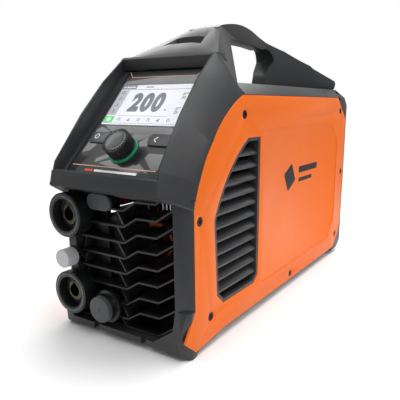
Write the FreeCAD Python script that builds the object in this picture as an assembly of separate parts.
"""Inverter TIG welding machine: dark plastic shells, orange side covers, a slanted control hood.

Millimetres. +X points to the right of a person who faces the front, +Y runs to the back and +Z
is up. Every piece is modelled with Y = 0 at the front lip and moved by SHIFT_Y when it is
written, so the origin is the centre of the bounding box's bottom.
"""
import FreeCAD, Part
import math
import os

from FreeCAD import Placement, Rotation, Vector

# ---------------------------------------------------------------- driving dimensions
HALF_WIDTH = 83.2            # outside of the side covers
COVER_THICK = 2.2            # side cover sheet
INNER_HALF = HALF_WIDTH - COVER_THICK - 0.2
FRONT_EDGE_Y = 9.5           # upright front edge of the side covers
REAR_EDGE_Y = 415.0          # upright rear edge of the side covers
COVER_TOP_Z = 241.0
COVER_BOTTOM_Z = 10.2
DECK_Z = 253.0
DECK_HALF = 72.0
REAR_FACE_Y = 425.0
WALL = 3.0                   # moulded plastic wall
HOOD_LIP_Y = -21.0           # furthest point forward
RIM_TOP_X = 59.3             # half width of the hood's rim at its top
RIM_WALL = 2.2
INLET_TIP_Y = 452.0          # furthest point back
SHIFT_Y = -(HOOD_LIP_Y + INLET_TIP_Y) / 2.0

# slanted control panel: a local frame with x across, y up the slope and z out of the face
PANEL_ANGLE = 47.0
PANEL_ORIGIN = Vector(0, 31.3, 212.4)
PANEL_HALF_LOW = 56.0        # the panel narrows up the slope
PANEL_HALF_HIGH = 50.0
PANEL_LOW = -60.5
PANEL_HIGH = 73.0
PANEL_THICK = 2.0
DISPLAY_HALF = 47.5
DISPLAY_HEIGHT = 54.0
KNOB_X = 3.0
KNOB_UP = -30.7
KNOB_RADIUS = 14.0
KNOB_HEIGHT = 15.0
BUTTON_UP = -17.5
BUTTON_HALF_HEIGHT = 6.6
BUTTON_REACH = {-1: (21.0, 47.0), 1: (26.0, 52.0)}   # inner and outer end, left and right
BUTTON_GAP = 0.35

# front face
SLAT_PITCH = 15.8
SLAT_TOP_Z = 135.0
SLAT_COUNT = 8
SLAT_THICK = 2.0
SLAT_DEPTH = 42.0
WINDOW_LEFT_X = -66.0
WINDOW_RIGHT_X = 67.0
WINDOW_LOW_Z = 12.0
WINDOW_HIGH_Z = 150.0
SOCKET_X = -58.8
SOCKET_Z = (42.8, 124.6)
SOCKET_RADIUS = 22.6
SOCKET_FACE_Y = -14.0
SOCKET_BORE = 6.6
SOCKET_BORE_DEPTH = 32.0
GAS_X = -59.2
GAS_Z = 80.7
GAS_CAP_RADIUS = 9.6
GAS_CAP_LENGTH = 14.0
REMOTE_X = -16.6
REMOTE_Z = 33.4
PORT_X = -23.7
PORT_Z = 139.4

# side vents and the slots between their slats
VENT_FIRST_Z = 50.5
VENT_PITCH = 13.2
VENT_COUNT = 11
VENT_DEPTH = 12.0

# rear face
FAN_Z = 135.0
FAN_HALF = 60.0
FAN_DEPTH = 38.0
FAN_FRONT_Y = REAR_FACE_Y - WALL - 1.0 - FAN_DEPTH
SWITCH_Z = 208.0
GLAND_X = -46.0
INLET_X = 46.0
REAR_LOW_Z = 57.5

SIDE_SCREWS = (
    (98.2, 222.1), (389.4, 222.1), (18.4, 129.7), (405.0, 129.7),
    (35.0, 31.5), (391.9, 31.5), (221.7, 17.6),
)
SIDE_SCREW_RADIUS = 2.0
SIDE_SCREW_HEAD = 4.2

# small pieces
EMBOSS_DEPTH = 0.7
TRAY_Z = 10.4
TRAY_HALF = 76.0
TRAY_FRONT_Y = 26.0
TRAY_REAR_Y = 380.0
FOOT_PLACES = ((-62.0, 44.0), (62.0, 44.0), (-62.0, 366.0), (62.0, 366.0))
SLAT_FRONT_Y = 0.6
RIB_LEFT = (-51.0, -46.0)
RIB_RIGHT = (5.0, -4.0)
SOCKET_INSERT_RADIUS = 10.5
REMOTE_RADIUS = 14.5
WINDOW_OUTLINE = [
    (WINDOW_LEFT_X, WINDOW_LOW_Z), (44.0, WINDOW_LOW_Z), (WINDOW_RIGHT_X, 28.0),
    (WINDOW_RIGHT_X, WINDOW_HIGH_Z - 2), (WINDOW_LEFT_X, WINDOW_HIGH_Z - 2),
]
SHAFT_RADIUS = 3.0
SHAFT_HOLE_RADIUS = 5.2
WHEEL_BORE = 3.6
RING_RADIUS = 15.6
KNOB_RIBS = 30
BOARD_TOP = -16.0
FAN_BLADES = 7
FAN_SCREWS = tuple((x, FAN_Z + z) for x in (-52.5, 52.5) for z in (-52.5, 52.5))
GLAND_BORE = 5.6
INLET_PIN = 4.0
VALVE_PLACE = (46.0, 345.0, 38.0)
FIN_PITCH = 6.0
BOARD_FRONT_Y = 138.5
BOARD_REAR_Y = 350.0
BOARD_Z = 150.0
BOARD_SCREWS = ((-67.5, 143.0), (67.5, 143.0), (-67.5, 345.0), (67.5, 345.0))
HEATSINK_TOP = 145.0
BUSBAR_X = -66.0
HOSE_RADIUS = 6.0
HOSE_BORE = 4.05
ROCKER_TILT = 11.0            # each way from level
ROCKER_PROFILE = ((1.6, -8.4), (1.0, 0.0), (1.6, 8.4), (-4.5, 8.2), (-6.5, 0.0), (-4.5, -8.2))
TINY = 1e-6

parts = {}


# ---------------------------------------------------------------- helpers
def box(x0, x1, y0, y1, z0, z1):
    return Part.makeBox(x1 - x0, y1 - y0, z1 - z0, Vector(x0, y0, z0))


def rod(radius, length, base, axis):
    return Part.makeCylinder(radius, length, Vector(*base), Vector(*axis))


def tube(outer, inner, length, base, axis):
    return rod(outer, length, base, axis).cut(rod(inner, length, base, axis))


def wire(points):
    """Closed wire through 3-D points; a point given as ("arc", middle, end) bends the edge."""
    edges = []
    here = points[0]
    for item in list(points[1:]) + [points[0]]:
        if item[0] == "arc":
            edges.append(Part.Arc(Vector(*here), Vector(*item[1]), Vector(*item[2])).toShape())
            here = item[2]
        elif Vector(*item).distanceToPoint(Vector(*here)) > TINY:
            edges.append(Part.LineSegment(Vector(*here), Vector(*item)).toShape())
            here = item
    return Part.Wire(edges)


def lift(points, place):
    """Turn a 2-D outline into a 3-D one with place(a, b) giving each point."""
    lifted = []
    for item in points:
        if item[0] == "arc":
            lifted.append(("arc", place(*item[1]), place(*item[2])))
        else:
            lifted.append(place(*item))
    return lifted


def prism_x(outline_yz, x0, x1):
    face = Part.Face(wire(lift(outline_yz, lambda y, z: (x0, y, z))))
    return face.extrude(Vector(x1 - x0, 0, 0))


def prism_y(outline_xz, y0, y1):
    face = Part.Face(wire(lift(outline_xz, lambda x, z: (x, y0, z))))
    return face.extrude(Vector(0, y1 - y0, 0))


def prism_z(outline_xy, z0, z1):
    face = Part.Face(wire(lift(outline_xy, lambda x, y: (x, y, z0))))
    return face.extrude(Vector(0, 0, z1 - z0))


def loft(outlines):
    """Ruled solid through 3-D outlines with the same number of points."""
    solid = Part.makeLoft([wire(outline) for outline in outlines], True, True)
    if solid.Volume < 0:
        solid.reverse()
    return solid


def fuse(shapes):
    first = shapes[0]
    if len(shapes) == 1:
        return first
    return first.multiFuse(list(shapes[1:])).removeSplitter()


def mirror_x(shape):
    return shape.mirror(Vector(0, 0, 0), Vector(1, 0, 0))


def on_panel(shape):
    """Move a shape from the slanted panel's local frame to the machine's."""
    placed = shape.copy()
    placed.Placement = Placement(PANEL_ORIGIN, Rotation(Vector(1, 0, 0), PANEL_ANGLE)).multiply(
        placed.Placement)
    return placed


def round_edges(shape, radius, chosen):
    """Fillet the edges that chosen(edge) picks."""
    edges = [edge for edge in shape.Edges if chosen(edge)]
    return shape.makeFillet(radius, edges)


def add(name, shape):
    parts[name] = shape


def group(shapes):
    return Part.makeCompound(shapes)


# ---------------------------------------------------------------- outlines in the side view (y, z)
COVER_OUTLINE = [
    (94.3, COVER_TOP_Z), (377.0, COVER_TOP_Z), (REAR_EDGE_Y, 209.7), (REAR_EDGE_Y, 61.7),
    ("arc", (408.0, 34.5), (384.5, COVER_BOTTOM_Z)),
    (60.6, COVER_BOTTOM_Z), (10.0, 5.0), (-6.7, 20.0), (FRONT_EDGE_Y, 46.2),
    (FRONT_EDGE_Y, 140.5), ("arc", (38.5, 196.5), (94.3, COVER_TOP_Z)),
]
VENT_OUTLINE = [
    (106.0, 198.7), (132.8, 198.7), (130.5, 45.0), (121.0, 37.5), (57.5, 37.5),
    (46.0, 49.0), (42.0, 125.5), ("arc", (67.5, 166.5), (106.0, 198.7)),
]
EMBOSS_OUTLINE = [
    (142.0, 205.0), (352.0, 205.0), (381.0, 180.0), (381.0, 60.0), (357.0, 32.0), (142.0, 32.0),
]
RIM_CURVE = [(HOOD_LIP_Y, 155.3), (-14.5, 178.0), (20.0, 222.5), (50.0, 254.5), (81.6, 281.0)]
CHEEK_CURVE = [(FRONT_EDGE_Y, 140.5), (17.5, 164.0), (41.0, 199.5), (66.0, 221.5), (94.3, 241.0)]


def rim_x(z):
    """Half width of the hood's rim, which narrows towards the top."""
    low, high = RIM_CURVE[0][1], RIM_CURVE[-1][1]
    return 67.3 - (67.3 - RIM_TOP_X) * (z - low) / (high - low)


# ---------------------------------------------------------------- side covers and their vents
def make_side_covers():
    """Two orange covers with an embossed field, a vent window and seven screw holes each."""
    sheet = prism_x(COVER_OUTLINE, HALF_WIDTH - COVER_THICK, HALF_WIDTH - EMBOSS_DEPTH)
    raised = prism_x(COVER_OUTLINE, HALF_WIDTH - COVER_THICK, HALF_WIDTH)
    raised = raised.cut(prism_x(EMBOSS_OUTLINE, HALF_WIDTH - EMBOSS_DEPTH, HALF_WIDTH + 1))
    cover = fuse([sheet, raised])
    cutters = [prism_x(VENT_OUTLINE, HALF_WIDTH - 5, HALF_WIDTH + 5)]
    for y, z in SIDE_SCREWS:
        cutters.append(rod(SIDE_SCREW_HEAD + 0.4, 10, (HALF_WIDTH - 5, y, z), (1, 0, 0)))
    cover = cover.cut(Part.makeCompound(cutters))
    add("side_cover_right", cover)
    add("side_cover_left", mirror_x(cover))


def make_side_vents():
    """Louvred inserts that sit in the covers' windows, slats tilted down to the outside."""
    outer = prism_x(shrink(VENT_OUTLINE, 0.25), HALF_WIDTH - VENT_DEPTH, HALF_WIDTH - 0.4)
    hole = prism_x(shrink(VENT_OUTLINE, 3.4), HALF_WIDTH - VENT_DEPTH - 1, HALF_WIDTH + 1)
    flange = prism_x(shrink(VENT_OUTLINE, -4.0), HALF_WIDTH - VENT_DEPTH, INNER_HALF - 0.2)
    window = prism_x(shrink(VENT_OUTLINE, 1.0), HALF_WIDTH - VENT_DEPTH - 1, HALF_WIDTH + 1)
    frame = fuse([outer.cut(hole), flange.cut(window)])
    opening = prism_x(shrink(VENT_OUTLINE, 3.2), HALF_WIDTH - VENT_DEPTH, HALF_WIDTH)
    slats = []
    for index in range(VENT_COUNT):
        z = VENT_FIRST_Z + index * VENT_PITCH
        profile = [
            (HALF_WIDTH - 2.5, z), (HALF_WIDTH - 2.5, z - 2.0),
            (HALF_WIDTH - VENT_DEPTH, z + 4.6), (HALF_WIDTH - VENT_DEPTH, z + 6.6),
        ]
        slats.append(prism_y(profile, 38.0, 136.0).common(opening))
    insert = fuse([frame] + slats)
    add("side_vent_right", insert)
    add("side_vent_left", mirror_x(insert))


def shrink(outline, distance):
    """Offset a side-view outline inwards by distance (outwards when negative)."""
    face = Part.Face(wire(lift(outline, lambda y, z: (y, z, 0.0))))
    inner = face.makeOffset2D(-distance, join=2)
    points = [tuple(vertex.Point)[:2] for vertex in inner.OuterWire.OrderedVertexes]
    edges = inner.OuterWire.OrderedEdges
    result = [points[0]]
    for edge, point in zip(edges, points[1:] + points[:1]):
        if edge.Curve.TypeId == "Part::GeomCircle":
            middle = edge.valueAt((edge.FirstParameter + edge.LastParameter) / 2)
            result.append(("arc", (middle.x, middle.y), point))
        else:
            result.append(point)
    return result


def make_side_screws():
    """Pan-head screws with a cross recess, seven on each side, one group of solids."""
    screws = []
    for y, z in SIDE_SCREWS:
        head = rod(SIDE_SCREW_HEAD, 2.2, (HALF_WIDTH - 2.4, y, z), (1, 0, 0))
        shank = rod(SIDE_SCREW_RADIUS, 6.2, (HALF_WIDTH - 8.4, y, z), (1, 0, 0))
        cross = fuse([
            box(HALF_WIDTH - 1.4, HALF_WIDTH, y - 2.4, y + 2.4, z - 0.5, z + 0.5),
            box(HALF_WIDTH - 1.4, HALF_WIDTH, y - 0.5, y + 0.5, z - 2.4, z + 2.4),
        ])
        screw = fuse([head, shank]).cut(cross)
        screws.append(screw)
        screws.append(mirror_x(screw))
    add("side_cover_screws", group(screws))


# ---------------------------------------------------------------- chassis and screw bosses
def make_base_tray():
    """Folded steel tray that carries the whole machine."""
    floor = box(-TRAY_HALF, TRAY_HALF, TRAY_FRONT_Y, TRAY_REAR_Y, TRAY_Z, TRAY_Z + 1.5)
    walls = [
        box(TRAY_HALF - 1.5, TRAY_HALF, TRAY_FRONT_Y + 50, TRAY_REAR_Y, TRAY_Z, TRAY_Z + 14),
        box(-TRAY_HALF, -TRAY_HALF + 1.5, TRAY_FRONT_Y + 50, TRAY_REAR_Y, TRAY_Z, TRAY_Z + 14),
    ]
    tray = fuse([floor] + walls)
    holes = []
    for x, y in FOOT_PLACES:
        holes.append(rod(2.2, 10, (x, y, TRAY_Z - 4), (0, 0, 1)))
    for side in (-1, 1):
        holes.append(rod(4.2, 12, (side * (TRAY_HALF + 6), 221.7, 17.6), (-side, 0, 0)))
    add("base_tray", tray.cut(Part.makeCompound(holes)))


def make_feet():
    """Four moulded rubber feet, each with its recess for a screw."""
    feet = []
    for x, y in FOOT_PLACES:
        pad = Part.makeCone(10.5, 12.0, TRAY_Z - 0.1, Vector(x, y, 0), Vector(0, 0, 1))
        recess = rod(5.0, 4.0, (x, y, 0), (0, 0, 1))
        bore = rod(2.2, 20, (x, y, 0), (0, 0, 1))
        feet.append(pad.cut(fuse([recess, bore])))
    add("rubber_feet", group(feet))


def foot_screws():
    screws = []
    for x, y in FOOT_PLACES:
        head = rod(4.0, 2.0, (x, y, 1.9), (0, 0, 1))
        shank = rod(2.0, 10.0, (x, y, 3.9), (0, 0, 1))
        screws.append(fuse([head, shank]).cut(box(x - 2.5, x + 2.5, y - 0.5, y + 0.5, 1.5, 2.7)))
    return screws


# ---------------------------------------------------------------- front casing
FRONT_PLAN = [
    (-HALF_WIDTH, FRONT_EDGE_Y), (-68.0, 0.0), (68.0, 0.0), (HALF_WIDTH, FRONT_EDGE_Y),
    (HALF_WIDTH, 12.0), (INNER_HALF, 12.0), (INNER_HALF, 24.0),
    (-INNER_HALF, 24.0), (-INNER_HALF, 12.0), (-HALF_WIDTH, 12.0),
]


def front_shell():
    """Front casing: faceted corner posts, a lower lip with raised middle and a top bar."""
    upper = prism_z(FRONT_PLAN, 46.2, 150.0)
    upper = upper.cut(prism_x(COVER_OUTLINE, HALF_WIDTH - COVER_THICK - 0.2, HALF_WIDTH + 1))
    upper = upper.cut(prism_x(COVER_OUTLINE, -HALF_WIDTH - 1, -HALF_WIDTH + COVER_THICK + 0.2))
    chin_profile = [
        (0.0, 46.2), (-6.7, 20.0), (-5.0, 4.5), (2.0, 0.0), (9.0, 0.0), (14.0, 4.5), (24.0, 8.0),
        (24.0, 46.2),
    ]
    chin = prism_x(chin_profile, -HALF_WIDTH, HALF_WIDTH)
    for side in (-1, 1):
        bevel = prism_z([
            (side * (HALF_WIDTH + 5), -12.0), (side * 71.0, -12.0), (side * HALF_WIDTH, 4.0),
            (side * (HALF_WIDTH + 5), 4.0),
        ], -1.0, 60.0)
        chin = chin.cut(bevel)
    arch = prism_y([
        (-66.0, -1.0), (-58.0, 5.6), (58.0, 5.6), (66.0, -1.0),
    ], -10.0, 30.0)
    chin = chin.cut(arch)
    for low, high in ((INNER_HALF, HALF_WIDTH + 1), (-HALF_WIDTH - 1, -INNER_HALF)):
        chin = chin.cut(prism_x(COVER_OUTLINE, low, high))
    return fuse([upper, chin])


def front_fitting_space():
    """Room that the casing and the grille leave for what is mounted on the front."""
    axis = (0, 1, 0)
    space = []
    for z in SOCKET_Z:
        space.append(rod(SOCKET_RADIUS + 0.1, 24.6, (SOCKET_X, -20.0, z), axis))
        space.append(rod(15.1, 60.0, (SOCKET_X, 0.0, z), axis))
    space.append(rod(GAS_CAP_RADIUS + 0.4, GAS_CAP_LENGTH, (GAS_X, -20.0, GAS_Z), axis))
    space.append(rod(7.1, 12.0, (GAS_X, -10.0, GAS_Z), axis))
    space.append(rod(10.3, 7.7, (GAS_X, 0.0, GAS_Z), axis))
    space.append(rod(HOSE_RADIUS + 0.2, 60.0, (GAS_X, 0.0, GAS_Z), axis))
    space.append(rod(REMOTE_RADIUS, 60.0, (REMOTE_X, -20.0, REMOTE_Z), axis))
    space.append(box(PORT_X - 16.4, PORT_X + 16.4, -10, 60, PORT_Z - 8.7, PORT_Z + 8.7))
    return Part.makeCompound(space)


def make_front_casing():
    shell = front_shell()
    window = prism_y(WINDOW_OUTLINE, -12.0, 30.0)
    lamp = box(-INNER_HALF + WALL, INNER_HALF - WALL, 6.0, 30.0, 14.0, 200.0)
    shell = shell.cut(window).cut(lamp.cut(box(-100, 100, 0, 9, 0, 200)))
    pockets = [rod(4.2, 9.0, (x, -9.0, 8.6), (0, 1, 0)) for x in (-32.0, 32.0)]
    holes = [rod(4.6, 12, (side * (HALF_WIDTH + 2), y, z), (-side, 0, 0))
             for side in (-1, 1) for y, z in SIDE_SCREWS if y < 40]
    shell = shell.cut(Part.makeCompound(pockets + holes))
    add("front_casing", shell.cut(front_fitting_space()))


def slat_outline(z):
    """Front view of one slat: level, up, level and up again, from left to right."""
    top = [
        (WINDOW_LEFT_X + 0.5, z), (7.0, z), (23.0, z + 10.0), (47.0, z + 10.5), (66.4, z + 22.5),
    ]
    return top + [(x, height - SLAT_THICK) for x, height in reversed(top)]


def make_front_grille():
    """Stepped black slats between leaning ribs, with the blank panel behind the sockets."""
    opening = prism_y(shrink(WINDOW_OUTLINE, 0.3), 0.0, 60.0)
    pieces = []
    for index in range(SLAT_COUNT):
        z = SLAT_TOP_Z - index * SLAT_PITCH
        pieces.append(prism_y(slat_outline(z), SLAT_FRONT_Y, SLAT_FRONT_Y + SLAT_DEPTH))
        for low_x, high_x in (RIB_LEFT, RIB_RIGHT):
            rib = [(low_x, z + 0.5 - SLAT_PITCH + 0.5), (low_x + 2.0, z - SLAT_PITCH + 1.0),
                   (high_x + 2.0, z - 0.5), (high_x, z - 0.5)]
            pieces.append(prism_y(rib, SLAT_FRONT_Y + 1.0, SLAT_FRONT_Y + SLAT_DEPTH))
    rim = prism_y(shrink(WINDOW_OUTLINE, 0.3), 3.0, 22.0)
    rim = rim.cut(prism_y(shrink(WINDOW_OUTLINE, 2.3), 0.0, 30.0))
    backing = box(WINDOW_LEFT_X + 1, -28.0, 15.0, 18.6, WINDOW_LOW_Z + 1, WINDOW_HIGH_Z - 1)
    inner = prism_y(shrink(WINDOW_OUTLINE, 1.0), 0.0, 30.0)
    collar = box(GAS_X - 5.0, GAS_X + 5.0, -5.0, 16.0, SOCKET_Z[0], SOCKET_Z[1])
    slats = [piece.common(opening) for piece in pieces]
    grille = fuse([rim, backing.common(inner), collar] + slats)
    add("front_grille", grille.cut(front_fitting_space()))


# ---------------------------------------------------------------- sockets on the front
def make_weld_sockets():
    """Two quarter-turn welding sockets: moulded housing, trim ring and brass insert."""
    axis = (0, 1, 0)
    housings = []
    rings = []
    inserts = []
    for z in SOCKET_Z:
        face = (SOCKET_X, SOCKET_FACE_Y, z)
        drum = rod(SOCKET_RADIUS, 4.5 - SOCKET_FACE_Y, face, axis)
        stem = rod(15.0, 20.0, (SOCKET_X, 4.5, z), axis)
        pocket = rod(16.6, 11.0, face, axis)
        bore = rod(SOCKET_INSERT_RADIUS, 60.0, face, axis)
        groove = tube(20.8, 18.3, 1.4, face, axis)
        housings.append(fuse([drum, stem]).cut(fuse([pocket, bore])).cut(groove))
        rings.append(tube(20.7, 18.4, 1.6, (SOCKET_X, SOCKET_FACE_Y - 0.3, z), axis))
        start = SOCKET_FACE_Y + 6.0
        insert = rod(SOCKET_INSERT_RADIUS - 0.05, 36.0, (SOCKET_X, start, z), axis)
        lug = rod(6.0, 12.0, (SOCKET_X, start + 36.0, z), axis)
        hole = rod(SOCKET_BORE, SOCKET_BORE_DEPTH, (SOCKET_X, start, z), axis)
        keyway = box(SOCKET_X - 2.2, SOCKET_X + 2.2, start, start + 6.0, z, z + 8.4)
        inserts.append(fuse([insert, lug]).cut(hole).cut(keyway))
    add("socket_housings", group(housings))
    add("socket_inserts", group(inserts))
    add("socket_trim_rings", group(rings))


def make_gas_outlet():
    """Brass gas outlet through the front, with a light push-on dust cap."""
    axis = (0, 1, 0)
    hexagon = Part.Face(Part.makePolygon([
        Vector(GAS_X + 10.0 * math.cos(math.radians(60 * corner)), 2.5,
               GAS_Z + 10.0 * math.sin(math.radians(60 * corner))) for corner in range(7)
    ])).extrude(Vector(0, 5.0, 0))
    nipple = rod(7.0, 17.0, (GAS_X, -14.5, GAS_Z), axis)
    tail = rod(4.0, 22.0, (GAS_X, 7.5, GAS_Z), axis)
    fitting = fuse([hexagon, nipple, tail]).cut(rod(2.4, 60, (GAS_X, -20, GAS_Z), axis))
    add("gas_outlet_fitting", fitting)
    cap = rod(GAS_CAP_RADIUS, GAS_CAP_LENGTH, (GAS_X, -20.5, GAS_Z), axis)
    cap = round_edges(cap, 1.2, lambda edge: edge.BoundBox.YMax < -20)
    cap = cap.cut(rod(7.3, 30.0, (GAS_X, -15.5, GAS_Z), axis))
    add("gas_outlet_cap", cap)


def make_remote_socket():
    """Round remote-control socket with its flange, pins and plug-in dust cap."""
    axis = (0, 1, 0)
    flange = rod(17.0, 4.0, (REMOTE_X, -4.0, REMOTE_Z), axis)
    barrel = rod(13.6, 6.0, (REMOTE_X, -9.5, REMOTE_Z), axis)
    stem = rod(REMOTE_RADIUS - 0.6, 24.0, (REMOTE_X, 0.0, REMOTE_Z), axis)
    body = fuse([flange, barrel, stem]).cut(rod(10.4, 20, (REMOTE_X, -12.0, REMOTE_Z), axis))
    pins = []
    for index in range(5):
        angle = math.radians(72 * index + 18)
        x = REMOTE_X + 5.6 * math.cos(angle)
        z = REMOTE_Z + 5.6 * math.sin(angle)
        pins.append(rod(1.0, 22.0, (x, 4.0, z), axis))
    add("remote_socket_body", fuse([body] + pins))
    lid = rod(13.3, 5.2, (REMOTE_X, -15.0, REMOTE_Z), axis)
    lid = round_edges(lid, 1.0, lambda edge: edge.BoundBox.YMax < -14.9)
    plug = rod(10.0, 8.0, (REMOTE_X, -9.8, REMOTE_Z), axis)
    add("remote_socket_cap", fuse([lid, plug]))


def pill_outline(half_width, half_height):
    """Stadium shape centred on the service port, front view."""
    straight = half_width - half_height
    return [
        (PORT_X - straight, PORT_Z - half_height), (PORT_X + straight, PORT_Z - half_height),
        ("arc", (PORT_X + half_width, PORT_Z), (PORT_X + straight, PORT_Z + half_height)),
        (PORT_X - straight, PORT_Z + half_height),
        ("arc", (PORT_X - half_width, PORT_Z), (PORT_X - straight, PORT_Z - half_height)),
    ]


def make_service_port():
    """Service connector behind an oval rubber cover."""
    collar = prism_y(pill_outline(16.0, 8.4), 2.0, 14.0)
    throat = prism_y(pill_outline(13.0, 5.8), 2.0, 10.0)
    add("service_port", collar.cut(throat))
    cover = prism_y(pill_outline(15.7, 8.2), -1.4, 1.7)
    tongue = prism_y(pill_outline(12.6, 5.4), 1.7, 7.0)
    add("service_port_cover", fuse([cover, tongue]))


# ---------------------------------------------------------------- control hood
def side_loft(outline_outer, x_outer, outline_inner, x_inner):
    """Solid between two side-view outlines, each x given by a function of z."""
    return loft([
        [(x_outer(z), y, z) for y, z in outline_outer],
        [(x_inner(z), y, z) for y, z in outline_inner],
    ])


def inward(curve, distance):
    """The same curve moved back and down by distance, which gives a wall its thickness."""
    return [(y + distance, z - 0.35 * distance) for y, z in curve]


def panel_outline(gap):
    """Trapezium of the slanted panel, larger by gap all round."""
    return [
        (-PANEL_HALF_LOW - gap, PANEL_LOW - gap), (PANEL_HALF_LOW + gap, PANEL_LOW - gap),
        (PANEL_HALF_HIGH + gap, PANEL_HIGH + gap), (-PANEL_HALF_HIGH - gap, PANEL_HIGH + gap),
    ]


def make_control_hood():
    """Visor-like moulding: cheeks, tall rim round the panel, chin and underside."""
    pieces = []
    rim_band = RIM_CURVE + list(reversed(inward(RIM_CURVE, 4.0)))
    cheek_band = CHEEK_CURVE + list(reversed(inward(CHEEK_CURVE, 4.0)))
    for side in (-1, 1):
        pieces.append(side_loft(
            rim_band, lambda z: side * rim_x(z), cheek_band, lambda z: side * HALF_WIDTH))
        wall = RIM_CURVE + [(100.0, 281.0), (94.0, 265.0), (-8.0, 161.0), (-14.0, 155.3)]
        pieces.append(side_loft(
            wall, lambda z: side * rim_x(z), wall, lambda z: side * (rim_x(z) - RIM_WALL)))
    chin = [(HOOD_LIP_Y, 155.3), (-18.2, 169.5), (-14.5, 170.6), (-9.6, 166.4), (-14.0, 158.0)]
    pieces.append(side_loft(chin, rim_x, chin, lambda z: -rim_x(z)))
    brow = [(81.6, 281.0), (78.0, 278.4), (82.5, 267.5), (86.0, 268.0), (96.0, 281.0)]
    pieces.append(side_loft(brow, rim_x, brow, lambda z: -rim_x(z)))
    floor = [(HOOD_LIP_Y, 155.3), (0.0, 150.4), (0.0, 153.4), (HOOD_LIP_Y + 3, 158.3)]
    pieces.append(prism_x(floor, -67.3, 67.3))
    for side in (-1, 1):
        gusset = wire([
            (side * 67.3, HOOD_LIP_Y, 155.3), (side * HALF_WIDTH, FRONT_EDGE_Y, 140.5),
            (side * 66.0, 0.0, 150.4),
        ])
        pieces.append(Part.Face(gusset).extrude(Vector(0, 0, 3.0)))
    hood = fuse(pieces)
    hood = hood.cut(prism_z(FRONT_PLAN, 100.0, 150.3))
    for low, high in ((HALF_WIDTH - COVER_THICK - 0.2, HALF_WIDTH + 1),
                      (-HALF_WIDTH - 1, -HALF_WIDTH + COVER_THICK + 0.2)):
        hood = hood.cut(prism_x(COVER_OUTLINE, low, high))
    ledge = [
        (PANEL_HALF_LOW, PANEL_LOW), (65.0, PANEL_LOW), (59.2, PANEL_HIGH),
        (PANEL_HALF_HIGH, PANEL_HIGH),
    ]
    for side in (-1, 1):
        strip = prism_z([(side * x, y) for x, y in ledge], -PANEL_THICK - 1.8, 0.6)
        hood = hood.fuse(on_panel(strip))
    hood = hood.cut(on_panel(prism_z(panel_outline(0.2), -PANEL_THICK - 0.2, 3.0)))
    add("control_hood", hood)


# ---------------------------------------------------------------- slanted control panel
def button_outline(side, gap):
    """Button seen square to the panel; the end near the knob is tapered."""
    inner = BUTTON_REACH[side][0] - gap
    outer = BUTTON_REACH[side][1] + gap
    low = BUTTON_UP - BUTTON_HALF_HEIGHT - gap
    high = BUTTON_UP + BUTTON_HALF_HEIGHT + gap
    points = [
        (outer, low), (outer, high), (inner + 3.0, high), (inner, high - 4.0),
        (inner + 1.0, low + 3.0), (inner + 3.0, low),
    ]
    return [(side * x, y) for x, y in points]


def make_panel():
    """Glossy panel with the screen window, the knob hole and two button holes."""
    plate = prism_z(panel_outline(0.0), -PANEL_THICK, 0)
    cuts = [
        rod(SHAFT_HOLE_RADIUS, 10, (KNOB_X, KNOB_UP, -5), (0, 0, 1)),
        prism_z(button_outline(-1, BUTTON_GAP), -5, 5),
        prism_z(button_outline(1, BUTTON_GAP), -5, 5),
        box(-DISPLAY_HALF, DISPLAY_HALF, 0, DISPLAY_HEIGHT, -0.8, 5),
        box(-DISPLAY_HALF + 1.5, DISPLAY_HALF - 1.5, 1.5, DISPLAY_HEIGHT - 1.5, -5, 5),
    ]
    add("control_panel", on_panel(plate.cut(Part.makeCompound(cuts))))
    lens = box(-DISPLAY_HALF + 0.1, DISPLAY_HALF - 0.1, 0.1, DISPLAY_HEIGHT - 0.1, -0.8, 0)
    add("display_lens", on_panel(lens))
    module = box(-52.8, 52.8, -7.0, 60.2, -7.0, -PANEL_THICK - 0.1)
    well = box(-DISPLAY_HALF + 0.5, DISPLAY_HALF - 0.5, 0.5, DISPLAY_HEIGHT - 0.5, -2.9, 0)
    module = module.common(prism_z(panel_outline(-2.5), -9, 0))
    add("lcd_module", on_panel(module.cut(well)))


def make_panel_gasket():
    outer = prism_z(panel_outline(-0.5), -PANEL_THICK - 0.2, -PANEL_THICK)
    inner = prism_z(panel_outline(-1.3), -9, 0)
    add("panel_gasket", on_panel(outer.cut(inner)))


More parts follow.
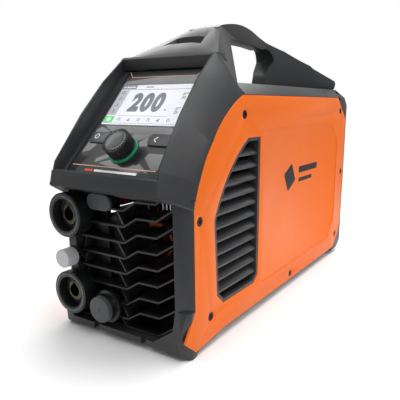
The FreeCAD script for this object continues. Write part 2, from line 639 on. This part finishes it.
def make_knob():
    """Ribbed control knob with its metal-look cap, shaft and the light ring under it."""
    body = rod(KNOB_RADIUS, KNOB_HEIGHT - 3.0, (KNOB_X, KNOB_UP, 3.0), (0, 0, 1))
    flutes = []
    for index in range(KNOB_RIBS):
        angle = 2 * math.pi * index / KNOB_RIBS
        x = KNOB_X + (KNOB_RADIUS + 0.25) * math.cos(angle)
        y = KNOB_UP + (KNOB_RADIUS + 0.25) * math.sin(angle)
        flutes.append(rod(0.9, 20, (x, y, 5.0), (0, 0, 1)))
        crown = (KNOB_X + 11.7 * math.cos(angle), KNOB_UP + 11.7 * math.sin(angle), KNOB_HEIGHT)
        flutes.append(rod(0.8, 5.0, crown, (math.cos(angle), math.sin(angle), 0)))
    body = body.cut(Part.makeCompound(flutes))
    dish = rod(KNOB_RADIUS - 2.6, 1.2, (KNOB_X, KNOB_UP, KNOB_HEIGHT - 1.2), (0, 0, 1))
    bore = rod(SHAFT_RADIUS, 13.0, (KNOB_X, KNOB_UP, 0), (0, 0, 1))
    hollow = tube(KNOB_RADIUS - 2.0, 5.5, 7.0, (KNOB_X, KNOB_UP, 3.0), (0, 0, 1))
    add("control_knob", on_panel(body.cut(fuse([dish, bore])).cut(hollow)))
    cap = rod(KNOB_RADIUS - 2.7, 1.1, (KNOB_X, KNOB_UP, KNOB_HEIGHT - 1.2), (0, 0, 1))
    add("knob_cap", on_panel(cap))
    shaft = rod(SHAFT_RADIUS, 27.5, (KNOB_X, KNOB_UP, -14.6), (0, 0, 1))
    collar = rod(WHEEL_BORE - 0.05, 3.6, (KNOB_X, KNOB_UP, -14.6), (0, 0, 1))
    add("encoder_shaft", on_panel(fuse([shaft, collar])))
    ring = tube(RING_RADIUS, RING_RADIUS - 3.2, 1.6, (KNOB_X, KNOB_UP, 0.0), (0, 0, 1))
    add("knob_light_ring", on_panel(ring))


def make_encoder():
    """Rotary encoder: square body on the board with a detent wheel inside."""
    body = box(KNOB_X - 7, KNOB_X + 7, KNOB_UP - 7, KNOB_UP + 7, BOARD_TOP, BOARD_TOP + 6.5)
    cavity = rod(6.0, 4.8, (KNOB_X, KNOB_UP, BOARD_TOP + 0.5), (0, 0, 1))
    neck = rod(4.5, 5.0, (KNOB_X, KNOB_UP, BOARD_TOP + 6.5), (0, 0, 1))
    bore = rod(SHAFT_RADIUS + 0.06, 20, (KNOB_X, KNOB_UP, BOARD_TOP + 1.0), (0, 0, 1))
    add("encoder_body", on_panel(fuse([body, neck]).cut(fuse([cavity, bore]))))
    wheel = tube(5.6, WHEEL_BORE, 2.6, (KNOB_X, KNOB_UP, BOARD_TOP + 1.8), (0, 0, 1))
    add("encoder_wheel", on_panel(wheel))


def make_buttons():
    """Home and back keys that travel into the panel on to their tactile switches."""
    for name, side in (("home_button", -1), ("back_button", 1)):
        key = prism_z(button_outline(side, 0.0), -PANEL_THICK - 0.4, 1.5)
        centre = side * sum(BUTTON_REACH[side]) / 2
        skirt = box(centre - 9, centre + 9, BUTTON_UP - 5, BUTTON_UP + 5, -3.6, -2.4)
        stalk = rod(2.0, 8.9, (centre, BUTTON_UP, -11.3), (0, 0, 1))
        add(name, on_panel(fuse([key, skirt, stalk])))


def tactile_switches():
    """Small switches on the board, one under each key."""
    switches = []
    for side in (-1, 1):
        centre = side * sum(BUTTON_REACH[side]) / 2
        height = BOARD_TOP
        case = box(centre - 3, centre + 3, BUTTON_UP - 3, BUTTON_UP + 3, height, height + 3.0)
        dome = rod(1.7, 0.9, (centre, BUTTON_UP, height + 3.0), (0, 0, 1))
        switches.append(fuse([case, dome]))
    return switches


def make_control_board():
    board = box(-50, 50, -56, 62, BOARD_TOP - 1.6, BOARD_TOP)
    chips = []
    for x, y, half in ((-24, 20, 7), (12, 34, 5), (30, 6, 6), (-38, -40, 5), (34, -44, 7)):
        chips.append(box(x - half, x + half, y - half, y + half, BOARD_TOP - 3.8,
                         BOARD_TOP - 1.6))
    add("control_board", on_panel(fuse([board] + chips + tactile_switches())))


def panel_pillars():
    """Spacers between the control board and the panel."""
    pillars = []
    for x in (-46.5, 46.5):
        for y in (-52.0, -34.0):
            pillars.append(tube(2.6, 1.3, -BOARD_TOP - PANEL_THICK - 0.1, (x, y, BOARD_TOP),
                                (0, 0, 1)))
    return [on_panel(pillar) for pillar in pillars]


# ---------------------------------------------------------------- top cover and handle
def make_top_cover():
    """Deck between the two covers, with sloping shoulders."""
    outer = [
        (-INNER_HALF, 231.0), (-INNER_HALF, 241.4), (-HALF_WIDTH, 241.4), (-DECK_HALF, DECK_Z),
        (DECK_HALF, DECK_Z), (HALF_WIDTH, 241.4), (INNER_HALF, 241.4), (INNER_HALF, 231.0),
        (INNER_HALF - WALL, 231.0), (INNER_HALF - WALL, 239.6), (DECK_HALF - 1.5, DECK_Z - WALL),
        (-DECK_HALF + 1.5, DECK_Z - WALL), (-INNER_HALF + WALL, 239.6),
        (-INNER_HALF + WALL, 231.0),
    ]
    add("top_cover", prism_y(outer, 99.0, 384.4))


def handle_side_profile():
    return [
        (82.4, 281.3), (115.0, 299.2), (150.0, 315.0),
        ("arc", (187.0, 323.6), (256.0, 319.0)), (322.0, 304.0), (367.0, 287.0),
        (399.0, 261.5), (393.0, 253.3), (99.0, 253.3), (91.0, 246.0),
    ]


HAND_OPENING = [
    (99.0, 253.0), (162.0, 299.0), ("arc", (174.0, 305.0), (190.0, 306.5)), (250.0, 305.0),
    (276.0, 303.0), ("arc", (296.0, 299.0), (301.0, 289.0)), (286.0, 275.0), (279.0, 253.0),
]


def above_plane(first, second, third):
    """Large block on the upper side of the plane through three points."""
    normal = (second - first).cross(third - first)
    if normal.z < 0:
        normal = normal * -1
    normal.normalize()
    block = Part.makeBox(600, 600, 200, Vector(-300, -300, 0))
    block.Placement = Placement(first, Rotation(Vector(0, 0, 1), normal))
    return block


def make_handle():
    """Carry handle: wide wedge at the front, slim grip, and a web that flares to the rear."""
    solid = prism_x(handle_side_profile(), -HALF_WIDTH, HALF_WIDTH)
    solid = solid.cut(prism_x(HAND_OPENING, -100, 100))
    for side in (-1, 1):
        corner = Vector(side * RIM_TOP_X, 81.6, 281.0)
        foot = Vector(side * HALF_WIDTH, 94.3, 241.0)
        crest = Vector(side * 20.0, 150.0, 315.0)
        reach = box(14.0, 100.0, 70, 214, 230, 400)
        reach = reach if side > 0 else mirror_x(reach)
        solid = solid.cut(above_plane(corner, foot, crest).common(reach))
        low = Vector(side * 30.0, 82.4, 281.3)
        edge = Vector(side * RIM_TOP_X, 81.6, 277.4)
        high = Vector(side * 13.0, 150.0, 315.0)
        solid = solid.cut(above_plane(low, edge, high).common(box(-100, 100, 70, 150, 230, 400)))
    half_plan = [
        (84, 70), (84, 150), (24, 184), (14, 206), (10, 262), (10, 284),
        ("arc", (24, 332), (44, 372)), (70, 394), (70, 400), (0, 400), (0, 70),
    ]
    half = prism_z(half_plan, 240, 340)
    solid = solid.common(half.fuse(mirror_x(half)))
    slot = prism_z([(-25, 107), (-19, 124), (19, 124), (25, 107)], 284.0, 320.0)
    solid = solid.cut(slot)
    solid = solid.cut(prism_x([(80.0, 240.0), (98.7, 240.0), (98.7, 262.0), (105.0, 274.0),
                               (97.0, 281.2), (80.0, 281.2)], -RIM_TOP_X, RIM_TOP_X))
    pieces = solid.cut(parts["control_hood"]).Solids
    add("carry_handle", max(pieces, key=lambda piece: piece.Volume))


# ---------------------------------------------------------------- rear casing and its fittings

def make_rear_casing():
    """Rear casing with chamfered edges, the fan opening and holes for the fittings."""
    outline = [
        (378.0, 253.0), (393.0, 253.0), (REAR_FACE_Y, 223.0), (REAR_FACE_Y, 44.0),
        ("arc", (419.5, 20.0), (402.0, 6.0)), (378.0, 6.0),
    ]
    outer = prism_x(outline, -HALF_WIDTH, HALF_WIDTH)
    inner = prism_x([
        (370.0, 250.0), (391.5, 250.0), (REAR_FACE_Y - WALL, 222.0), (REAR_FACE_Y - WALL, 44.5),
        ("arc", (417.0, 22.5), (401.0, 9.0)), (370.0, 9.0),
    ], -INNER_HALF + WALL, INNER_HALF - WALL)
    shell = outer.cut(inner)
    for low, high in ((INNER_HALF, HALF_WIDTH + 1), (-HALF_WIDTH - 1, -INNER_HALF)):
        shell = shell.cut(prism_x(COVER_OUTLINE, low, high))
    for side in (-1, 1):
        bevel = prism_z([
            (side * (HALF_WIDTH + 5), 417.5), (side * HALF_WIDTH, 417.5),
            (side * 74.0, REAR_FACE_Y + 0.5), (side * (HALF_WIDTH + 5), REAR_FACE_Y + 0.5),
        ], -5, 260)
        shoulder = prism_y([
            (side * (HALF_WIDTH + 5), 241.4), (side * HALF_WIDTH, 241.4),
            (side * DECK_HALF, DECK_Z + 0.2), (side * (HALF_WIDTH + 5), DECK_Z + 0.2),
        ], 370, 430)
        shell = shell.cut(bevel).cut(shoulder)
    shell = shell.cut(box(-100, 100, 370, 384.6, 9.0, 260))
    holes = [
        rod(FAN_HALF - 2.5, 20, (0, REAR_FACE_Y - 10, FAN_Z), (0, 1, 0)),
        box(-14.1, 14.1, REAR_FACE_Y - 10, REAR_FACE_Y + 10, SWITCH_Z - 11.1, SWITCH_Z + 11.1),
        rod(10.2, 20, (GLAND_X, REAR_FACE_Y - 10, REAR_LOW_Z), (0, 1, 0)),
        rod(6.6, 20, (INLET_X, REAR_FACE_Y - 10, REAR_LOW_Z), (0, 1, 0)),
    ]
    for x, z in FAN_SCREWS:
        holes.append(rod(2.1, 20, (x, REAR_FACE_Y - 10, z), (0, 1, 0)))
    for side in (-1, 1):
        for y, z in SIDE_SCREWS:
            if y > 380:
                holes.append(rod(4.6, 12, (side * (HALF_WIDTH + 2), y, z), (-side, 0, 0)))
    add("rear_casing", shell.cut(Part.makeCompound(holes)))


def make_fan():
    """Axial fan: square frame, hub with seven blades, motor, and the guard outside."""
    y0 = FAN_FRONT_Y
    frame = box(-FAN_HALF, FAN_HALF, y0, y0 + FAN_DEPTH, FAN_Z - FAN_HALF, FAN_Z + FAN_HALF)
    frame = frame.cut(rod(FAN_HALF - 2.5, 60, (0, y0 - 5, FAN_Z), (0, 1, 0)))
    waist = box(-FAN_HALF - 1, FAN_HALF + 1, y0 + 5, y0 + FAN_DEPTH - 5,
                FAN_Z - FAN_HALF - 1, FAN_Z + FAN_HALF + 1)
    frame = frame.cut(waist.cut(rod(FAN_HALF + 0.0, 60, (0, y0 - 5, FAN_Z), (0, 1, 0))))
    spider = [rod(19.0, 4.0, (0, y0 + FAN_DEPTH - 4, FAN_Z), (0, 1, 0))]
    for index in range(3):
        angle = 90 + 120 * index
        arm = box(0, FAN_HALF - 1.5, y0 + FAN_DEPTH - 4, y0 + FAN_DEPTH,
                  FAN_Z - 2.5, FAN_Z + 2.5)
        arm.rotate(Vector(0, 0, FAN_Z), Vector(0, 1, 0), angle)
        spider.append(arm)
    stator = rod(3.0, 22.0, (0, y0 + FAN_DEPTH - 26, FAN_Z), (0, 1, 0))
    bores = [rod(2.1, 60, (x, y0 - 5, z), (0, 1, 0)) for x, z in FAN_SCREWS]
    add("fan_frame", fuse([frame] + spider + [stator]).cut(Part.makeCompound(bores)))
    hub = rod(19.0, 24.0, (0, y0 + 8, FAN_Z), (0, 1, 0))
    hub = hub.cut(tube(17.0, 5.0, 20.0, (0, y0 + 12, FAN_Z), (0, 1, 0)))
    blades = []
    for index in range(FAN_BLADES):
        low = [(-7.0, y0 + 9, 17.5), (-5.0, y0 + 9, 17.5), (9.0, y0 + 31, 17.5),
               (7.0, y0 + 31, 17.5)]
        high = [(-16.0, y0 + 10, 53.0), (-14.5, y0 + 10, 53.0), (16.0, y0 + 30, 53.0),
                (14.5, y0 + 30, 53.0)]
        blade = loft([low, high])
        blade.translate(Vector(0, 0, FAN_Z))
        blade.rotate(Vector(0, 0, FAN_Z), Vector(0, 1, 0), 360.0 * index / FAN_BLADES)
        blades.append(blade)
    rotor = fuse([hub] + blades)
    rotor = rotor.cut(rod(3.06, 60, (0, y0 + 9, FAN_Z), (0, 1, 0)))
    add("fan_rotor", rotor)
    rings = [tube(radius + 1.0, radius - 1.0, 2.0, (0, REAR_FACE_Y, FAN_Z), (0, 1, 0))
             for radius in range(14, 62, 8)]
    bars = []
    for angle in (45, 135):
        bar = box(-78, 78, REAR_FACE_Y, REAR_FACE_Y + 2.6, FAN_Z - 1.5, FAN_Z + 1.5)
        bar.rotate(Vector(0, 0, FAN_Z), Vector(0, 1, 0), angle)
        bars.append(bar)
    for x, z in FAN_SCREWS:
        bars.append(rod(5.0, 2.6, (x, REAR_FACE_Y, z), (0, 1, 0)))
    guard = fuse(rings + bars)
    holes = [rod(2.1, 20, (x, REAR_FACE_Y - 5, z), (0, 1, 0)) for x, z in FAN_SCREWS]
    add("fan_guard", guard.cut(Part.makeCompound(holes)))
    screws = []
    for x, z in FAN_SCREWS:
        head = rod(3.8, 2.2, (x, REAR_FACE_Y + 2.6, z), (0, 1, 0))
        shank = rod(2.0, 14.0, (x, REAR_FACE_Y - 11.4, z), (0, 1, 0))
        slot = box(x - 3, x + 3, REAR_FACE_Y + 4.0, REAR_FACE_Y + 6, z - 0.5, z + 0.5)
        screws.append(fuse([head, shank]).cut(slot))
    add("fan_screws", group(screws))


def make_power_switch():
    """Mains rocker switch in its frame; the rocker turns about a pin across the machine."""
    y0 = REAR_FACE_Y
    bezel = box(-16, 16, y0, y0 + 2.2, SWITCH_Z - 13, SWITCH_Z + 13)
    body = box(-14, 14, y0 - 24, y0, SWITCH_Z - 11, SWITCH_Z + 11)
    well = box(-12, 12, y0 - 9.0, y0 + 5, SWITCH_Z - 9.6, SWITCH_Z + 9.6)
    tabs = [box(x - 3, x + 3, y0 - 34, y0 - 24, SWITCH_Z - 0.4, SWITCH_Z + 0.4)
            for x in (-8, 8)]
    pin_hole = rod(1.55, 27.0, (-13.5, y0 - 2.0, SWITCH_Z), (1, 0, 0))
    add("power_switch_body", fuse([bezel, body] + tabs).cut(well).cut(pin_hole))
    profile = [(y0 + y, SWITCH_Z + z) for y, z in ROCKER_PROFILE]
    rocker = prism_x(profile, -11.6, 11.6)
    rocker.rotate(Vector(0, y0 - 2.0, SWITCH_Z), Vector(1, 0, 0), -ROCKER_TILT)
    pin = rod(1.5, 26.4, (-13.2, y0 - 2.0, SWITCH_Z), (1, 0, 0))
    add("power_switch_rocker", fuse([rocker, pin]))


def make_cable_gland():
    """Mains cable gland: threaded body through the wall, dome nut outside, lock nut inside."""
    axis = (0, 1, 0)
    base = REAR_FACE_Y
    flange = rod(13.5, 5.0, (GLAND_X, base, REAR_LOW_Z), axis)
    thread = rod(10.0, 14.0, (GLAND_X, base - 14.0, REAR_LOW_Z), axis)
    neck = rod(9.6, 5.0, (GLAND_X, base + 5.0, REAR_LOW_Z), axis)
    bore = rod(GLAND_BORE, 60.0, (GLAND_X, base - 30.0, REAR_LOW_Z), axis)
    add("cable_gland_body", fuse([flange, thread, neck]).cut(bore))
    nut = rod(13.0, 13.0, (GLAND_X, base + 5.2, REAR_LOW_Z), axis)
    nut = round_edges(nut, 3.0, lambda edge: edge.BoundBox.YMin > base + 18)
    nut = nut.cut(rod(9.8, 5.4, (GLAND_X, base + 5.0, REAR_LOW_Z), axis)).cut(bore)
    flats = [box(-3 + x, 3 + x, base + 5, base + 14, REAR_LOW_Z - 20, REAR_LOW_Z + 20)
             for x in (GLAND_X - 15.2, GLAND_X + 15.2)]
    lock = Part.Face(Part.makePolygon([
        Vector(GLAND_X + 13.0 * math.cos(math.radians(60 * corner)), base - WALL - 5.2,
               REAR_LOW_Z + 13.0 * math.sin(math.radians(60 * corner))) for corner in range(7)
    ])).extrude(Vector(0, 5.0, 0))
    lock = lock.cut(rod(10.05, 40, (GLAND_X, base - 30, REAR_LOW_Z), axis))
    add("cable_gland_nuts", group([nut.cut(Part.makeCompound(flats)), lock]))


def make_gas_inlet():
    """Brass hose tail for the shielding gas, with its nut inside the wall."""
    axis = (0, 1, 0)
    base = REAR_FACE_Y
    hexagon = Part.Face(Part.makePolygon([
        Vector(INLET_X + 9.5 * math.cos(math.radians(60 * corner)), base,
               REAR_LOW_Z + 9.5 * math.sin(math.radians(60 * corner))) for corner in range(7)
    ])).extrude(Vector(0, 5.0, 0))
    tail = rod(INLET_PIN, INLET_TIP_Y - base, (INLET_X, base, REAR_LOW_Z), axis)
    thread = rod(6.4, 12.0, (INLET_X, base - 12.0, REAR_LOW_Z), axis)
    inner = rod(4.0, 9.0, (INLET_X, base - 20.0, REAR_LOW_Z), axis)
    bore = rod(2.4, 90.0, (INLET_X, base - 30.0, REAR_LOW_Z), axis)
    add("gas_inlet_fitting", fuse([hexagon, tail, thread, inner]).cut(bore))


# ---------------------------------------------------------------- gas line inside
def make_gas_valve():
    """Solenoid valve: brass block, coil, core tube, sprung plunger."""
    x, y, z = VALVE_PLACE
    block = box(x - 11, x + 11, y - 14, y + 14, z - 9, z + 9)
    ports = [rod(4.0, 10.0, (x, y + 13.5, z), (0, 1, 0)), rod(4.0, 10.0, (x, y - 23.5, z), (0, 1, 0))]
    passage = rod(2.4, 80.0, (x, y - 40, z), (0, 1, 0))
    sleeve = rod(6.5, 34.0, (x, y, z + 8.5), (0, 0, 1))
    cavity = rod(4.6, 31.5, (x, y, z + 8.5), (0, 0, 1))
    add("gas_valve_body", fuse([block, sleeve] + ports).cut(passage).cut(cavity))
    coil = box(x - 13, x + 13, y - 14, y + 14, z + 11, z + 39)
    add("gas_valve_coil", coil.cut(rod(6.6, 40, (x, y, z + 5), (0, 0, 1))))
    plunger = rod(4.55, 20.0, (x, y, z + 9.0), (0, 0, 1))
    add("gas_valve_plunger", plunger)


def hose(points, radius, bore):
    """Round hose along straight runs joined by tangent arcs."""
    edges = []
    here = Vector(*points[0])
    for index in range(1, len(points) - 1):
        corner = Vector(*points[index])
        before = (Vector(*points[index - 1]) - corner)
        after = (Vector(*points[index + 1]) - corner)
        reach = 0.45 * min(before.Length, after.Length)
        before.normalize()
        after.normalize()
        start = corner + before * reach
        end = corner + after * reach
        bisector = before + after
        bisector.normalize()
        half = before.getAngle(after) / 2
        distance = reach / math.cos(half)
        bend = reach * math.tan(half)
        middle = corner + bisector * (distance - bend)
        edges.append(Part.LineSegment(here, start).toShape())
        edges.append(Part.Arc(start, middle, end).toShape())
        here = end
    edges.append(Part.LineSegment(here, Vector(*points[-1])).toShape())
    path = Part.Wire(edges)
    direction = Vector(*points[1]) - Vector(*points[0])
    outer = Part.Wire([Part.makeCircle(radius, Vector(*points[0]), direction)])
    inner = Part.Wire([Part.makeCircle(bore, Vector(*points[0]), direction)])
    solid = path.makePipeShell([outer], True, True)
    return solid.cut(path.makePipeShell([inner], True, True))


def make_gas_hoses():
    """Two hoses: inlet to valve, and valve to the front outlet."""
    x, y, z = VALVE_PLACE
    rear = hose([
        (INLET_X, REAR_FACE_Y - 13.0, REAR_LOW_Z), (INLET_X, 398.0, REAR_LOW_Z),
        (x, 376.0, z), (x, y + 14.2, z),
    ], HOSE_RADIUS, HOSE_BORE)
    front = hose([
        (x, y - 14.2, z), (x, 316.0, z), (54.0, 296.0, 26.0), (54.0, 250.0, 20.0),
        (52.0, 196.0, 19.0), (54.0, 148.0, 20.0), (55.0, 104.0, 19.5), (46.0, 78.0, 20.0),
        (18.0, 68.0, 24.0), (-14.0, 69.0, 32.0), (-42.0, 67.0, 48.0), (-57.4, 58.0, 70.0),
        (GAS_X, 40.0, GAS_Z), (GAS_X, 8.0, GAS_Z),
    ], HOSE_RADIUS, HOSE_BORE)
    add("gas_hoses", group([rear, front]))


# ---------------------------------------------------------------- power electronics
def heatsink(x0, x1, y0, y1, z0, z1):
    """Finned heat sink whose fins run with the airflow."""
    base = box(x0, x1, y0, y1, z1 - 6, z1)
    fins = []
    count = int((x1 - x0 - 2.0) // FIN_PITCH) + 1
    start = (x0 + x1 - (count - 1) * FIN_PITCH) / 2
    for index in range(count):
        x = start + index * FIN_PITCH
        fins.append(box(x - 1.0, x + 1.0, y0, y1, z0, z1 - 6))
    return fuse([base] + fins)


def make_heatsinks():
    add("heat_sinks", group([
        heatsink(-62, -8, 140, 265, 84, HEATSINK_TOP),
        heatsink(8, 62, 140, 265, 84, HEATSINK_TOP),
    ]))


def make_power_board():
    board = box(-72, 72, BOARD_FRONT_Y, BOARD_REAR_Y, BOARD_Z, BOARD_Z + 2.0)
    slots = [rod(1.8, 10, (x, y, BOARD_Z - 4), (0, 0, 1)) for x, y in BOARD_SCREWS]
    add("power_board", board.cut(Part.makeCompound(slots)))
    posts = []
    for x, y in BOARD_SCREWS:
        post = rod(3.6, BOARD_Z - TRAY_Z - 1.5, (x, y, TRAY_Z + 1.5), (0, 0, 1))
        posts.append(fuse([post, rod(1.7, 2.2, (x, y, BOARD_Z), (0, 0, 1))]))
    add("board_spacers", group(posts + panel_pillars()))
    screws = []
    for x, y in BOARD_SCREWS:
        head = rod(3.4, 2.4, (x, y, BOARD_Z + 2.2), (0, 0, 1))
        screws.append(head.cut(box(x - 2.4, x + 2.4, y - 0.5, y + 0.5, BOARD_Z + 3.6, 200)))
    add("chassis_screws", group(foot_screws() + screws))


def make_capacitors():
    cans = []
    for x in (-52, -18, 16, 50):
        can = rod(15.0, 45.0, (x, 325.0, BOARD_Z + 2.0), (0, 0, 1))
        can = round_edges(can, 1.5, lambda edge: edge.BoundBox.ZMin > BOARD_Z + 40)
        cans.append(can)
    add("bus_capacitors", group(cans))


def make_devices():
    """Switching devices and rectifiers bolted between the board and the heat sinks."""
    devices = []
    for x in (-36, 36):
        for y in (156, 186, 216, 246):
            devices.append(box(x - 10, x + 10, y - 8, y + 8, HEATSINK_TOP, BOARD_Z))
    add("power_devices", group(devices))


def make_magnetics():
    """Ferrite transformer, output choke and the coil that starts the arc."""
    x, y, z = 0.0, 300.0, 62.0
    core = box(x - 36, x + 36, y - 14, y + 14, z, z + 60)
    core = core.cut(box(x - 24, x - 11, y - 20, y + 20, z + 11, z + 49))
    core = core.cut(box(x + 11, x + 24, y - 20, y + 20, z + 11, z + 49))
    add("transformer_core", core)
    winding = box(x - 23.6, x + 23.6, y - 25, y + 25, z + 11.4, z + 48.6)
    winding = winding.cut(box(x - 11.4, x + 11.4, y - 14.4, y + 14.4, z, z + 60))
    add("transformer_winding", winding)
    bracket = fuse([
        box(x - 38, x + 38, y - 14, y + 14, TRAY_Z + 1.5, TRAY_Z + 4.0),
        box(x - 38, x - 36.1, y - 14, y + 14, TRAY_Z + 4.0, z + 30),
        box(x + 36.1, x + 38, y - 14, y + 14, TRAY_Z + 4.0, z + 30),
    ])
    choke = Part.makeTorus(24.0, 11.0, Vector(-34.0, 110.0, 72.0), Vector(0, 1, 0))
    add("output_choke", choke)
    coil = Part.makeTorus(17.0, 7.5, Vector(36.0, 108.0, 70.0), Vector(0, 1, 0))
    add("arc_start_coil", coil)
    saddle = fuse([
        box(-52, -16, 97, 123, TRAY_Z + 1.5, 44.0),
        box(22, 46, 99, 117, TRAY_Z + 1.5, 52.0),
    ])
    saddle = saddle.cut(Part.makeTorus(24.0, 11.2, Vector(-34.0, 110.0, 72.0), Vector(0, 1, 0)))
    saddle = saddle.cut(Part.makeTorus(17.0, 7.7, Vector(36.0, 108.0, 70.0), Vector(0, 1, 0)))
    add("coil_mounts", group([bracket] + saddle.Solids))


def make_busbars():
    """Copper links from the socket inserts back to the power stage."""
    links = []
    y0 = SOCKET_FACE_Y + 42.2 + 12.0
    for z in SOCKET_Z:
        links.append(fuse([
            box(SOCKET_X - 8, SOCKET_X + 8, y0, y0 + 2.0, z - 8, z + 8),
            box(BUSBAR_X - 1.5, BUSBAR_X + 1.5, y0, BOARD_FRONT_Y - 4, z - 6, z + 6),
            box(BUSBAR_X - 1.5, SOCKET_X - 7.9, y0, y0 + 2.0, z - 6, z + 6),
        ]))
    add("socket_busbars", group(links))


# ---------------------------------------------------------------- build and write
def build():
    make_side_covers()
    make_side_vents()
    make_side_screws()
    make_base_tray()
    make_feet()
    make_front_casing()
    make_front_grille()
    make_weld_sockets()
    make_gas_outlet()
    make_remote_socket()
    make_service_port()
    make_control_hood()
    make_panel()
    make_panel_gasket()
    make_knob()
    make_encoder()
    make_buttons()
    make_control_board()
    make_top_cover()
    make_handle()
    make_rear_casing()
    make_fan()
    make_power_switch()
    make_cable_gland()
    make_gas_inlet()
    make_gas_valve()
    make_gas_hoses()
    make_power_board()
    make_heatsinks()
    make_devices()
    make_capacitors()
    make_magnetics()
    make_busbars()


def write():
    os.makedirs("parts", exist_ok=True)
    whole = None
    for name, shape in parts.items():
        moved = shape.copy()
        moved.translate(Vector(0, SHIFT_Y, 0))
        moved.exportStep("parts/" + name + ".step")
        bounds = moved.BoundBox
        if whole is None:
            whole = bounds
        else:
            whole.add(bounds)
        if not shape.isValid():
            print("not valid:", name)
        print(f"{name:26s} solids {len(shape.Solids)} volume {shape.Volume / 1000:.1f} cm3")
    print("box", whole)


build()
write()
